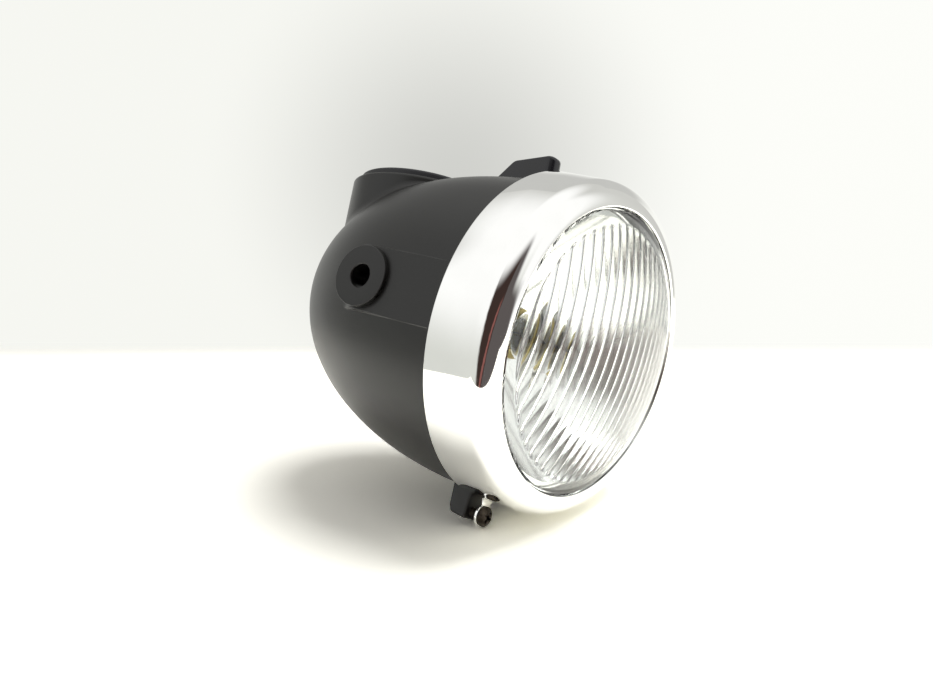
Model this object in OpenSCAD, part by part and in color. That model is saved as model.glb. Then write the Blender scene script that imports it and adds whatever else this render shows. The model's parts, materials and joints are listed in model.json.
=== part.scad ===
// Round headlight for a small motorcycle: egg-shaped housing with a speedometer collar,
// a light switch on top, a chrome rim and a fluted glass.
// The lamp looks along -Y, +Z is up, and the origin is halfway between the two fork bolts.

/* [Housing] */
// Outer radius of the egg at its mouth
shell_r = 62.9; // [62:0.1:63.4]
// Length of the egg from the rear edge of the rim to its tail
shell_len = 104.7; // [102:0.1:108]
// Wall thickness of the moulding
wall = 2.5; // [2.2:0.1:3]
// How far the flattened crown lies below a round egg
crown_drop = 2.8; // [2.4:0.1:3]
// Distance from the fork bolts forward to the rear edge of the rim
pivot_to_rim = 40; // [38:1:42]

/* [Fork bosses] */
// Distance from the middle of the lamp to the outer face of a boss
boss_reach = 62; // [61.5:0.1:64]
// Diameter of the boss
boss_d = 23.4; // [20:0.1:25]
// Clearance hole for the fork bolt
boss_hole_d = 9; // [8:0.1:10]
// Half the height of the flat land between boss and rim
land_half = 12.5; // [11:0.5:13]

/* [Speedometer collar] */
// Outer diameter of the collar
collar_d = 60; // [58:1:62]
// Clear hole for the speedometer, inside the rubber seal
speedo_d = 48; // [47:0.5:49]
// Height of the middle of the collar above the lamp axis
collar_up = 47.4; // [46.5:0.1:49]
// Distance of the middle of the collar behind the fork bolts
collar_back = 36.8; // [35:0.1:38]
// Rearward lean of the collar
collar_tilt = 9; // [7:0.5:11]

/* [Rim] */
// Outer diameter of the chrome rim
rim_d = 130; // [129.5:0.1:131]
// Length of the straight band behind the rounded shoulder
rim_band = 20; // [19:0.5:21]
// Radius of the rounded shoulder
rim_shoulder = 8.4; // [8:0.1:8.8]
// Sheet thickness of the rim
rim_sheet = 0.8; // [0.6:0.1:1]

/* [Glass] */
// Height of the dome above the lip of the rim
dome_rise = 12; // [10:0.5:13]
// Thickness of the glass
glass_t = 3; // [2.6:0.1:3.4]
// Distance from one flute to the next
flute_pitch = 5; // [4.5:0.25:6]
// Number of flutes
flute_count = 19; // [15:2:19]
// Height of a flute above the inside of the glass
flute_rise = 1; // [0.6:0.1:1.2]
// Radius of the fluted field
flute_field = 48.5; // [46:0.5:49]

/* [Reflector and bulb] */
// Focal length of the reflector
focal = 17; // [16.5:0.5:18]
// Radius of the open front of the bowl
bowl_r = 51; // [50:0.5:52]
// Radius of the bulb's glass ball
bulb_r = 11; // [10:0.2:11.4]

/* [Switch] */
// Length of the knob from its nose to its tail
knob_len = 29.5; // [28:0.5:30]
// Width of the knob
knob_w = 7.5; // [7.5:0.25:9]
// Diameter of the switch shaft
shaft_d = 5; // [4:0.5:5]
// Distance of the switch axis behind the rear edge of the rim
knob_back = 22; // [21:0.5:24]
// Rearward lean of the switch axis
knob_tilt = 8; // [7:0.5:9]

/* [Hidden] */
$fn = 96;
fit_gap = 0.05;      // running clearance on a radius
eps = 0.02;

rim_y = -pivot_to_rim;                        // rear edge of the rim
rim_r = rim_d/2;
shoulder_y = rim_y - rim_band;                // where the straight band ends
lip_y = shoulder_y - rim_shoulder;            // foremost point of the rim
lip_r = rim_r - 0.2 - rim_shoulder - 1.1;     // edge of the opening
mouth_y = rim_y - 8;                          // front edge of the housing, under the rim
egg_p = 2.1;                                  // fullness of the egg along its length
egg_q = 2.06;                                 // fullness of the egg across

// Radius of the egg at a distance t behind the rim
function egg_r(t) = shell_r*pow(1 - pow(max(t, 0)/shell_len, egg_p), 1/egg_q);

crown_low = 14;                               // centre of the crown's curve, below the lamp axis

// Height of the crown above the lamp axis at a distance t behind the rim
function crown_z(t) = egg_r(t) - crown_drop*(1 - pow(t/shell_len, 2));

flange_front = lip_y + 2.2;                   // front face of the glass flange
flange_back = flange_front + glass_t;
flange_r = 58.5;
dome_chord = 54;                              // radius where the dome meets the rim's lip
dome_r = (dome_chord*dome_chord + dome_rise*dome_rise)/(2*dome_rise);
dome_y = lip_y - dome_rise + dome_r;          // centre of the dome's sphere
gasket_t = 1.6;
bowl_front = flange_back + gasket_t;          // front face of the reflector flange
sheet = 0.8;
vertex_y = bowl_front + bowl_r*bowl_r/(4*focal);
neck_r = 11.6;                                // bore of the reflector neck
neck_end = vertex_y + 4;
holder_r = 10.8;                              // outside of the bulb holder
holder_wall = 0.7;
base_r = holder_r - holder_wall - fit_gap;    // bulb base
filament_y = vertex_y - focal;

switch_y = rim_y + knob_back;
switch_z = crown_z(knob_back);
shaft_r = shaft_d/2;
pad_low = -4.5;                               // mounting face of the switch, below the shell
switch_r = 13;
spout_r = 3.5;                                // bearing round the shaft, in a hole in the shell
cavity_r = 7.6;
screw_at = 10.2;                              // switch screws from the shaft
cover_top = -14;
cover_low = -15.6;

lug_half = 5;                                 // half the width of the screw lug
lug_front = rim_y + 2;
lug_back = rim_y + 12;
lug_top = -58;
lug_low = -74.3;
screw_z = -71.3;
screw_r = 2;
tab_y = rim_y - 3.3;                          // front face of the rim's tab
tab_t = 1;
head_t = 2.2;

gland_back = 55;                              // cable hole behind the fork bolts
gland_t = pivot_to_rim + gland_back;
gland_z = -egg_r(gland_t);
gland_lean = atan((egg_r(gland_t - 1) - egg_r(gland_t + 1))/2);
gland_r = 6;
gland_pad_r = 9.5;
gland_pad_top = 1;
gland_pad_low = -3;
cord_r = 3.5;

black = [0.22, 0.22, 0.21];
blue_black = [0.2, 0.2, 0.22];
brass = [0.78, 0.62, 0.32];
steel = [0.7, 0.7, 0.72];

// Turns a shape drawn round Z so that its Z runs along +Y
module along_y(y=0) {
    translate([0, y, 0]) rotate([-90, 0, 0]) children();
}

module tube(r_out, r_in, h) {
    difference() {
        cylinder(r=r_out, h=h);
        translate([0, 0, -1]) cylinder(r=r_in, h=h + 2);
    }
}

// Solid egg with its straight mouth under the rim, shrunk all over by g
module egg(g=0) {
    steps = 30;
    mouth_r = shell_r - max(g, 0.5);
    front = mouth_y - rim_y - (g > 0 ? 1 : 0);
    mouth = g > 0 ? [[0, front], [mouth_r, front]] : [[0, front], [mouth_r, front], [mouth_r, 0]];
    along_y(rim_y) rotate_extrude() polygon(concat(mouth,
        [for (i = [0:steps]) let (a = 90*i/steps)
            [(shell_r - g)*pow(cos(a), 2/egg_q), (shell_len - g)*pow(sin(a), 2/egg_p)]]));
}

// What the flattened crown takes off the egg, shrunk all over by g
module crown_cut(g=0) {
    steps = 23;
    front = -2*wall;
    front_y = rim_y - g - 0.3;
    rear_y = collar_back + 20;
    difference() {
        translate([-shell_r - 3, front_y, 1]) cube([2*shell_r + 6, rear_y - front_y, shell_r + 5]);
        translate([0, 0, -crown_low]) along_y(rim_y) rotate_extrude() polygon(concat(
            [[0, front], [crown_z(0) + crown_low - g, front]],
            [for (i = [0:steps]) let (t = shell_len*pow(sin(90*i/steps), 2/egg_p))
                [crown_z(t) + crown_low - g, t]],
            [[0, shell_len]]));
    }
}

// Places a shape in the collar's own frame: Z is the collar axis, zero its top face
module on_collar() {
    translate([0, collar_back, collar_up]) rotate([-collar_tilt, 0, 0]) children();
}

// Places a shape in the switch's own frame: Z is the shaft, zero the outside of the shell
module on_switch() {
    translate([0, switch_y, switch_z]) rotate([-knob_tilt, 0, 0]) children();
}

// Places a shape in the cable hole's frame: Z points out of the shell
module on_gland() {
    translate([0, gland_back, gland_z]) rotate([180 + gland_lean, 0, 0]) children();
}

boss_t = 8;                                   // length of the boss, and of its bolt hole
collar_r = collar_d/2;
seal_bore = speedo_d/2 + 2;                   // hole in the housing that the seal sits in
collar_floor = 3.5;                           // thickness of the collar's top

module housing_outside() {
    edge = 1.3;
    difference() {
        union() {
            difference() {
                egg();
                crown_cut();
            }
            on_collar() translate([0, 0, -42]) cylinder(r=collar_r, h=42 - edge);
            on_collar() translate([0, 0, -edge - eps]) cylinder(r=collar_r - edge, h=edge + eps);
            on_collar() translate([0, 0, -edge]) rotate_extrude()
                translate([collar_r - edge, 0]) circle(r=edge, $fn=32);
            for (s = [-1, 1]) scale_x(s) land();
            screw_lug();
            on_gland() translate([0, 0, gland_pad_low - 1])
                cylinder(r=gland_pad_r, h=gland_pad_top - gland_pad_low + 1);
        }
        on_collar() cylinder(r=collar_r + 0.4, h=14);
        for (s = [-1, 1]) scale_x(s) land_cut();
        on_gland() translate([0, 0, gland_pad_top]) cylinder(r=gland_pad_r + 2.5, h=6);
    }
    for (s = [-1, 1]) scale_x(s) boss();
}

module boss() {
    translate([boss_reach - boss_t, 0, 0]) rotate([0, 90, 0]) cylinder(r=boss_d/2, h=boss_t);
}

module scale_x(s) {
    if (s < 0) mirror([1, 0, 0]) children();
    else children();
}

land_rear_x = egg_r(pivot_to_rim) + 0.7;
land_front_x = shell_r - 0.5;

// Flat land that runs from the boss to the rim
module land() {
    translate([0, 0, -land_half]) linear_extrude(2*land_half)
        polygon([[52, 0], [land_rear_x, 0], [land_front_x, rim_y], [57, rim_y]]);
}

// What the land takes off the crown of the egg
module land_cut() {
    translate([0, 0, -land_half]) linear_extrude(2*land_half)
        polygon([[land_rear_x, 0], [land_front_x, rim_y], [70, rim_y], [70, 0]]);
}

// Lug below the mouth that takes the rim's screw
module screw_lug() {
    translate([-lug_half, 0, 0]) rotate([90, 0, 90]) linear_extrude(2*lug_half)
        polygon([[lug_front, lug_top], [lug_front, lug_low], [lug_back - 3, lug_low + 0.8],
                 [lug_back - 1.6, lug_low + 3.2], [lug_back, lug_top]]);
}

module housing_inside() {
    difference() {
        egg(wall);
        crown_cut(wall);
    }
    on_collar() translate([0, 0, -44]) cylinder(r=collar_r - wall - 0.2, h=44 - collar_floor);
}

module housing_shell() {
    color(black) difference() {
        housing_outside();
        difference() {
            housing_inside();
            for (s = [-1, 1]) scale_x(s) boss();
            on_switch() translate([0, 0, pad_low]) cylinder(r=switch_r, h=3);
        }
        on_collar() translate([0, 0, -collar_floor - 1]) cylinder(r=seal_bore, h=collar_floor + 2);
        for (s = [-1, 1]) scale_x(s) translate([boss_reach - boss_t - 1, 0, 0]) rotate([0, 90, 0])
            cylinder(r=boss_hole_d/2, h=boss_t + 2);
        on_switch() translate([0, 0, pad_low - 1]) cylinder(r=spout_r + 0.1, h=8);
        for (s = [-1, 1]) on_switch() translate([s*screw_at, 0, pad_low - 1])
            cylinder(r=1.25, h=3.2);
        on_gland() translate([0, 0, gland_pad_low - 2]) cylinder(r=gland_r, h=8);
        on_gland() translate([0, 0, gland_pad_low - 4]) cylinder(r=gland_pad_r - 0.5, h=4);
        along_y(rim_y - 1) translate([0, -screw_z, 0]) cylinder(r=screw_r + eps, h=9);
        translate([-4.2, mouth_y - 1, shell_r - wall - 1]) cube([8.4, 2.5, wall + 2]);
    }
}

// Rubber ring that the speedometer pushes into
module speedometer_seal() {
    lip = 3;
    round_r = 1.2;
    color(blue_black) on_collar() rotate_extrude() {
        translate([speedo_d/2, -collar_floor - 1.5]) square([2, collar_floor + 1.5 + lip - round_r]);
        translate([speedo_d/2, 0]) square([3.2, lip - round_r]);
        translate([speedo_d/2, lip - round_r - eps]) square([3.2 - round_r, round_r + eps]);
        translate([speedo_d/2 + 3.2 - round_r, lip - round_r]) circle(r=round_r, $fn=24);
        translate([speedo_d/2, -collar_floor - 1.5]) square([2.8, 1.5]);
    }
}

// Rubber grommet that the wires leave through, its groove round the edge of the hole
module cable_grommet() {
    color(blue_black) on_gland() rotate_extrude() {
        translate([cord_r, -5]) square([gland_r - cord_r, 8.5]);
        translate([cord_r, gland_pad_top]) square([9 - cord_r, 1.5]);
        translate([cord_r, 2.5]) square([7.5 - cord_r, 1]);
        translate([cord_r, gland_pad_low - 1.6]) square([8.2 - cord_r, 1.6]);
    }
}

// Half section of the rim as seen from outside, thinned by g
module rim_section(g=0) {
    r = rim_shoulder - g;
    translate([rim_r - 0.2 - rim_shoulder, -rim_band]) intersection() {
        circle(r=r);
        translate([-0.01, -20]) square([20, 20.02]);
    }
    polygon([[0, 0], [rim_r - g, 0], [rim_r - 0.2 - g, -rim_band], [rim_r - 0.2 - rim_shoulder, -rim_band],
             [rim_r - 0.2 - rim_shoulder, -rim_band - r], [0, -rim_band - r]]);
}

module chrome_rim() {
    color([0.86, 0.86, 0.87]) union() {
        along_y(rim_y) rotate_extrude() {
            difference() {
                rim_section();
                rim_section(rim_sheet);
                translate([-1, -60]) square([lip_r + 1, 70]);
            }
            translate([lip_r, -rim_band - rim_shoulder + 0.4]) square([rim_sheet, 1.8]);
            translate([shell_r + 0.1, -rim_sheet]) square([rim_r - shell_r - 0.2, rim_sheet]);
        }
        // tab for the screw
        difference() {
            translate([0, tab_y, 0]) rotate([-90, 0, 0]) linear_extrude(tab_t) union() {
                translate([0, -screw_z]) circle(r=4.6);
                polygon([[-3.2, 64.5], [3.2, 64.5], [2.2, 67], [3.6, 68.6], [-3.6, 68.6], [-2.2, 67]]);
            }
            along_y(tab_y - 1) translate([0, -screw_z, 0]) cylinder(r=screw_r + eps, h=4);
        }
        // hook that holds the rim at the top of the housing
        translate([-4, mouth_y + 0.5, shell_r - wall]) cube([8, 0.8, rim_r - shell_r + wall - 0.5]);
    }
}

module rim_screw() {
    slot = 1.1;
    color([0.16, 0.15, 0.14]) along_y() translate([0, -screw_z, 0]) difference() {
        union() {
            translate([0, 0, tab_y - eps]) cylinder(r=screw_r, h=rim_y + 7 - tab_y);
            translate([0, 0, tab_y - head_t]) intersection() {
                cylinder(r=4, h=head_t);
                translate([0, 0, 5]) sphere(r=5.6);
            }
        }
        for (a = [0, 90]) rotate(a + 20) translate([-2.4, -slot/2, tab_y - head_t - 1])
            cube([4.8, slot, 2.3]);
    }
}

// Fluted glass: a domed cap with vertical ribs inside a round field
module lens() {
    inner_r = dome_r - glass_t;
    flute_r = (pow(flute_pitch/2, 2) + pow(flute_rise, 2))/(2*flute_rise);
    first = -(flute_count - 1)/2;
    color([0.9, 0.95, 0.95, 0.35]) union() {
        difference() {
            union() {
                intersection() {
                    translate([0, dome_y, 0]) sphere(r=dome_r, $fn=160);
                    along_y(lip_y - dome_rise - 1) cylinder(r=dome_chord + 0.4, h=60);
                }
                along_y(flange_front) cylinder(r=flange_r, h=40);
            }
            translate([0, dome_y, 0]) sphere(r=inner_r, $fn=160);
            along_y(flange_back) cylinder(r=80, h=60);
        }
        intersection() {
            translate([0, dome_y, 0]) rotate([0, 90, 0]) rotate([0, 0, 240]) rotate_extrude(angle=60)
                flute_section(inner_r, flute_r, first);
            along_y(lip_y - dome_rise) cylinder(r=flute_field, h=30);
        }
    }
}

// Row of ribs in section, each a shallow arc on the inside of the dome
module flute_section(inner_r, flute_r, first) {
    intersection() {
        union() for (i = [0:flute_count - 1]) let (x = (first + i)*flute_pitch,
                                                  y = sqrt(inner_r*inner_r - x*x))
            translate([y - flute_rise + flute_r, x]) circle(r=flute_r, $fn=48);
        difference() {
            circle(r=inner_r + glass_t/2, $fn=160);
            circle(r=inner_r - 2*flute_rise, $fn=160);
        }
        translate([inner_r/2, -60]) square([inner_r, 120]);
    }
}

module lens_gasket() {
    color(blue_black) along_y(flange_back) tube(flange_r, flange_r - 5, gasket_t);
}

// Parabolic bowl with a flat flange in front and a neck behind
module reflector() {
    steps = 24;
    neck_s = neck_r*neck_r/(4*focal);
    function bowl(g) = [for (i = [0:steps]) let (r = neck_r + (bowl_r - neck_r)*i/steps)
        [r, vertex_y - r*r/(4*focal) + g]];
    color(steel) along_y() rotate_extrude() {
        polygon(concat(bowl(0), [for (i = [steps:-1:0]) bowl(1.3)[i]]));
        translate([bowl_r - 0.3, bowl_front]) square([flange_r - bowl_r + 0.3, sheet]);
        translate([neck_r, vertex_y - neck_s]) square([sheet, neck_end - vertex_y + neck_s]);
    }
}

// Bent strip between the rim's band and the back of the reflector flange
module reflector_clip(n) {
    back = bowl_front + sheet;
    r = rim_r - rim_sheet - 0.2;
    half = 3.5;
    color(steel) rotate([0, 45 + 90*n, 0]) translate([0, 0, -half]) linear_extrude(2*half)
        polygon([[55.5, back], [57.5, back], [59.6, back + 5], [r - 1.9, back + 9], [r - 0.4, back + 5],
                 [r, back + 5], [r, back + 6], [r - 1.6, back + 10.2], [r - 2.6, back + 10],
                 [58.8, back + 5.2], [57, back + 0.7], [55.5, back + 0.7]]);
}

module reflector_clip_1() { reflector_clip(1); }
module reflector_clip_2() { reflector_clip(2); }
module reflector_clip_3() { reflector_clip(3); }
module reflector_clip_4() { reflector_clip(4); }

stem_r = 7;
base_front = filament_y + sqrt(bulb_r*bulb_r - stem_r*stem_r) + 0.1;
base_back = vertex_y + 6;

module bulb_glass() {
    skin = 0.7;
    color([0.92, 0.95, 0.95, 0.3]) difference() {
        union() {
            translate([0, filament_y, 0]) sphere(r=bulb_r);
            along_y(filament_y) cylinder(r=stem_r, h=base_front + 3 - filament_y);
        }
        translate([0, filament_y, 0]) sphere(r=bulb_r - skin);
        along_y(filament_y) cylinder(r=stem_r - skin, h=base_front - filament_y);
    }
}

module bulb_base() {
    pin_y = base_back - 4;
    color(brass) union() {
        along_y(base_front) difference() {
            cylinder(r=base_r, h=base_back - base_front);
            translate([0, 0, -1]) cylinder(r=stem_r, h=4);
        }
        translate([-holder_r - 0.3, pin_y, 0]) rotate([0, 90, 0]) cylinder(r=1, h=2*holder_r + 0.6, $fn=24);
        for (s = [-1, 1]) translate([s*4, base_back - eps, 0]) rotate([-90, 0, 0])
            cylinder(r=1.8, h=1 + eps, $fn=24);
    }
}

// Coiled filament on its two support wires, standing on the glass stem
module bulb_filament() {
    wire = 0.3;
    half = 3;
    foot = base_front;
    color([0.35, 0.33, 0.3]) union() {
        for (s = [-1, 1]) translate([s*half, filament_y - wire, 0]) rotate([-90, 0, 0])
            cylinder(r=wire, h=foot - filament_y + wire, $fn=16);
        translate([-half, filament_y, 0]) rotate([0, 90, 0]) cylinder(r=0.45, h=2*half, $fn=16);
    }
}

holder_front = vertex_y - 6;
holder_back = vertex_y + 22;

// Steel socket with two bayonet slots, its flange on the end of the reflector's neck
module bulb_holder() {
    color(steel) difference() {
        along_y() union() {
            translate([0, 0, holder_front])
                tube(holder_r, holder_r - holder_wall, holder_back - holder_front);
            translate([0, 0, neck_end]) tube(16, holder_r - 0.1, sheet);
            translate([0, 0, holder_back - sheet]) tube(holder_r, 6.5, sheet);
        }
        for (s = [-1, 1]) translate([s*holder_r - 2, holder_front - 1, -1.3])
            cube([4, base_back - 4 + 1.3 - holder_front + 1, 2.6]);
    }
}

plate_front = base_back + 5;
plate_t = 1.6;

module holder_insulator() {
    color([0.5, 0.3, 0.16]) difference() {
        along_y(plate_front) cylinder(r=holder_r - holder_wall - 0.05, h=plate_t);
        for (s = [-1, 1]) along_y(plate_front - 1) translate([s*4, 0, 0])
            cylinder(r=1.5, h=plate_t + 2, $fn=24);
    }
}

// Brass plunger that touches the foot of the bulb
module holder_contact(s) {
    color(brass) along_y() translate([s*4, 0, 0]) union() {
        translate([0, 0, base_back + 1]) cylinder(r=2.4, h=4, $fn=24);
        translate([0, 0, plate_front - eps]) cylinder(r=1.5, h=9, $fn=24);
    }
}

module holder_contact_1() { holder_contact(-1); }
module holder_contact_2() { holder_contact(1); }

// Coil spring behind the insulator, swept along a helix
module holder_spring() {
    turns = 4;
    sides = 6;
    per_turn = 16;
    wire = 0.5;
    coil_r = 8.3;
    low = plate_front + plate_t + wire;
    rise = holder_back - sheet - wire - low;
    rings = turns*per_turn;
    points = [for (i = [0:rings], k = [0:sides - 1])
        let (a = 360*i/per_turn, b = 360*k/sides, r = coil_r + wire*cos(b))
        [r*cos(a), low + rise*i/rings + wire*sin(b), r*sin(a)]];
    walls = [for (i = [0:rings - 1], k = [0:sides - 1])
        let (a = i*sides + k, b = i*sides + (k + 1)%sides) [a, b, b + sides, a + sides]];
    ends = [[for (k = [sides - 1:-1:0]) k], [for (k = [0:sides - 1]) rings*sides + k]];
    color(steel) polyhedron(points, concat(walls, ends), convexity=6);
}

module switch_screw_place(s) {
    on_switch() translate([s*screw_at, 0, 0]) children();
}

// Moulded switch body, screwed to the pad inside the shell
module switch_body() {
    color([0.12, 0.12, 0.12]) on_switch() difference() {
        union() {
            translate([0, 0, cover_top]) cylinder(r=switch_r, h=pad_low - cover_top);
            translate([0, 0, pad_low - eps]) cylinder(r=spout_r, h=3);
        }
        translate([0, 0, cover_top - 1]) cylinder(r=cavity_r, h=8);
        translate([0, 0, cover_top]) cylinder(r=shaft_r + fit_gap, h=20);
        for (s = [-1, 1]) translate([s*screw_at, 0, cover_top - 1]) cylinder(r=1.6, h=12, $fn=24);
    }
}

terminal_at = 5.2;

module switch_cover() {
    color([0.45, 0.27, 0.14]) on_switch() difference() {
        translate([0, 0, cover_low]) cylinder(r=switch_r, h=cover_top - cover_low);
        for (s = [-1, 1]) translate([s*screw_at, 0, cover_low - 1]) cylinder(r=1.6, h=4, $fn=24);
        for (n = [0:2]) rotate(-90 + 60*(n - 1)) translate([terminal_at, 0, cover_low - 1])
            cylinder(r=1.2, h=4, $fn=24);
    }
}

module switch_screw(s) {
    color(steel) switch_screw_place(s) difference() {
        union() {
            translate([0, 0, cover_low - eps]) cylinder(r=1.25, h=pad_low - cover_low + 2, $fn=24);
            translate([0, 0, cover_low - 1.8]) cylinder(r=2.7, h=1.8, $fn=32);
        }
        translate([-3, -0.4, cover_low - 2.8]) cube([6, 0.8, 1.8]);
    }
}

module switch_screw_1() { switch_screw(-1); }
module switch_screw_2() { switch_screw(1); }

// Rivet with a flat blade for a wire
module switch_terminal(n) {
    color(brass) on_switch() rotate(-90 + 60*(n - 1)) translate([terminal_at, 0, 0]) union() {
        translate([0, 0, cover_low - eps]) cylinder(r=1.2, h=cover_top - cover_low + eps, $fn=24);
        translate([0, 0, cover_top]) cylinder(r=1.7, h=2.3, $fn=24);
        translate([-1.6, -1.6, cover_low - 0.8]) cube([3.2, 3.2, 0.8]);
        translate([-0.4, -1.6, cover_low - 7.5]) cube([0.8, 3.2, 7]);
    }
}

module switch_terminal_1() { switch_terminal(0); }
module switch_terminal_2() { switch_terminal(1); }
module switch_terminal_3() { switch_terminal(2); }

shaft_top = 5;

// Shaft with a flat on its upper end and the disc that carries the contact
module switch_rotor() {
    color([0.12, 0.12, 0.12]) on_switch() difference() {
        union() {
            translate([0, 0, -9]) cylinder(r=shaft_r, h=shaft_top + 9);
            translate([0, 0, -10.4]) cylinder(r=cavity_r - 0.35, h=3.1);
        }
        translate([-shaft_r - 1, shaft_r - 1, -1]) cube([2*shaft_r + 2, 3, shaft_top + 2]);
    }
}

// Brass bridge under the rotor that joins two terminals
module switch_bridge() {
    color(brass) on_switch() rotate(-90) difference() {
        translate([0, 0, -11.4]) cylinder(r=6.6, h=1);
        translate([0, 0, -12.4]) cylinder(r=3.4, h=3);
        translate([-10, -10, -12.4]) cube([10, 20, 3]);
    }
}

knob_low = 0.5;
knob_top = 12.2;                              // height of the knob over its nose
knob_nose = -9.3;

// Pointer-shaped knob: its side view cut from its rounded plan
module switch_knob() {
    corner = 2.4;
    ramp = 9.9;
    fall = 1.9;                               // how much lower the top is where the ramp begins
    taper = 0.7;
    tail = knob_nose + knob_len;
    half = knob_w/2;
    color(blue_black) on_switch() difference() {
        intersection() {
            translate([-half - 1, 0, 0]) rotate([90, 0, 90]) linear_extrude(knob_w + 2)
                polygon(concat([[knob_nose, knob_low]],
                    [for (a = [180:-15:90])
                        [knob_nose + corner + corner*cos(a), knob_top - corner + corner*sin(a)]],
                    [[tail - ramp, knob_top - fall], [tail, knob_low]]));
            linear_extrude(20) union() {
                translate([0, knob_nose + half]) circle(r=half, $fn=64);
                polygon([[-half, knob_nose + half], [half, knob_nose + half],
                         [half - taper, tail + 1], [taper - half, tail + 1]]);
            }
        }
        difference() {
            translate([0, 0, -1]) cylinder(r=shaft_r, h=shaft_top + 1);
            translate([-shaft_r - 1, shaft_r - 1, -2]) cube([2*shaft_r + 2, 3, shaft_top + 4]);
        }
    }
}

housing_shell();
speedometer_seal();
cable_grommet();
chrome_rim();
rim_screw();
lens();
lens_gasket();
reflector();
reflector_clip_1();
reflector_clip_2();
reflector_clip_3();
reflector_clip_4();
bulb_glass();
bulb_base();
bulb_filament();
bulb_holder();
holder_insulator();
holder_spring();
holder_contact_1();
holder_contact_2();
switch_body();
switch_cover();
switch_screw_1();
switch_screw_2();
switch_terminal_1();
switch_terminal_2();
switch_terminal_3();
switch_rotor();
switch_bridge();
switch_knob();
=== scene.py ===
import json
import math

import bmesh
import bpy
from mathutils import Matrix, Vector

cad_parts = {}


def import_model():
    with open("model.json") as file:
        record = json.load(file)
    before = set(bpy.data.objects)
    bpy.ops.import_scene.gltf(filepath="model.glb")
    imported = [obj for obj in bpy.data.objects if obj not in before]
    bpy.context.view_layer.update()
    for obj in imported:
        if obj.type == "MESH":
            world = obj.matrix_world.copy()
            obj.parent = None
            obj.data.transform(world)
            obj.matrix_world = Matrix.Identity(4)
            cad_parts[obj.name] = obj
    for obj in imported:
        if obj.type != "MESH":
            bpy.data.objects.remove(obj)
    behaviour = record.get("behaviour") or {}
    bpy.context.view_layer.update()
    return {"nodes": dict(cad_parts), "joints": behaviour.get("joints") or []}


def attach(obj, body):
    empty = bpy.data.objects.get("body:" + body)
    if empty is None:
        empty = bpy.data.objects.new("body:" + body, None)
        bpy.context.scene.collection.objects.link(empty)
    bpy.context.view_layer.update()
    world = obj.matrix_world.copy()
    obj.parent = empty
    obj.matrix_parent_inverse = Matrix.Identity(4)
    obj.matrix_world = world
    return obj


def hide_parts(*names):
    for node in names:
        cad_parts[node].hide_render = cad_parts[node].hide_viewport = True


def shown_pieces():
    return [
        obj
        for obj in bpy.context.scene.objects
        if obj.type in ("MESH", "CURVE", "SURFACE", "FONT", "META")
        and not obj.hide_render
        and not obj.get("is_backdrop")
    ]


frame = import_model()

mm = 0.001
scene = bpy.context.scene
joint = frame["joints"][0]  # the knob's turn, whose axis stands on the housing
print("frame loaded:", len(frame["nodes"]), "nodes")


# Shader and geometry trees written as expressions

class Wire:
    def __init__(self, net, socket):
        self.net = net
        self.socket = socket


def addOperator(sign, operation):
    setattr(Wire, "__%s__" % sign, lambda self, other: self.net.maths(operation, self, other))
    setattr(Wire, "__r%s__" % sign, lambda self, other: self.net.maths(operation, other, self))


operators = {"add": "ADD", "sub": "SUBTRACT", "mul": "MULTIPLY", "truediv": "DIVIDE", "pow": "POWER"}
for sign, operation in operators.items():
    addOperator(sign, operation)


class Net:
    def __init__(self, tree):
        self.tree = tree
        tree.nodes.clear()

    def add(self, kind, settings=None, inputs=None, out=0):  # one node: its type, settings and socket values
        node = self.tree.nodes.new(kind)
        for name, value in (settings or {}).items():
            setattr(node, name, value)
        for name, value in (inputs or {}).items():
            if isinstance(value, Wire):
                self.tree.links.new(value.socket, node.inputs[name])
            elif isinstance(value, list):
                for wire in value:
                    self.tree.links.new(wire.socket, node.inputs[name])
            else:
                node.inputs[name].default_value = value
        self.last = node
        return Wire(self, node.outputs[out]) if len(node.outputs) else None

    def maths(self, operation, a, b=0.0):
        return self.add("ShaderNodeMath", {"operation": operation}, {0: a, 1: b})


def steps(net, value, low, high, start=0.0, end=1.0):  # smooth step of a value between two limits
    return net.add("ShaderNodeMapRange", {"interpolation_type": "SMOOTHSTEP"},
                   {"Value": value, "From Min": low, "From Max": high, "To Min": start, "To Max": end})


# Materials

def newMaterial(name):
    material = bpy.data.materials.new(name)
    material.use_nodes = True
    net = Net(material.node_tree)
    where = net.add("ShaderNodeTexCoord", out="Object")
    return material, net, where


def closeMaterial(net, surface):
    net.add("ShaderNodeOutputMaterial", {}, {"Surface": surface})


def noise(net, where, scale, detail):
    inputs = {"Vector": where, "Scale": scale, "Detail": detail, "Roughness": 0.55}
    return net.add("ShaderNodeTexNoise", {}, inputs)


def mixColor(net, factor, dark, light):
    return net.add("ShaderNodeMix", {"data_type": "RGBA"}, {0: factor, 6: dark, 7: light}, out=2)


def bump(net, height, strength, distance):
    return net.add("ShaderNodeBump", {}, {"Strength": strength, "Distance": distance, "Height": height})


def mouldedPlastic(name, dark, light, roughness, spread, grain, grainDepth):
    material, net, where = newMaterial(name)
    clouds = noise(net, where, 38.0, 4.0)
    fine = noise(net, where, grain, 2.0)
    tone = steps(net, clouds, 0.35, 0.65)
    closeMaterial(net, net.add("ShaderNodeBsdfPrincipled", {}, {
        "Base Color": mixColor(net, tone, dark, light),
        "Roughness": roughness + (clouds - 0.5) * spread,
        "Normal": bump(net, fine, 0.35, grainDepth)}))
    return material


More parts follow.
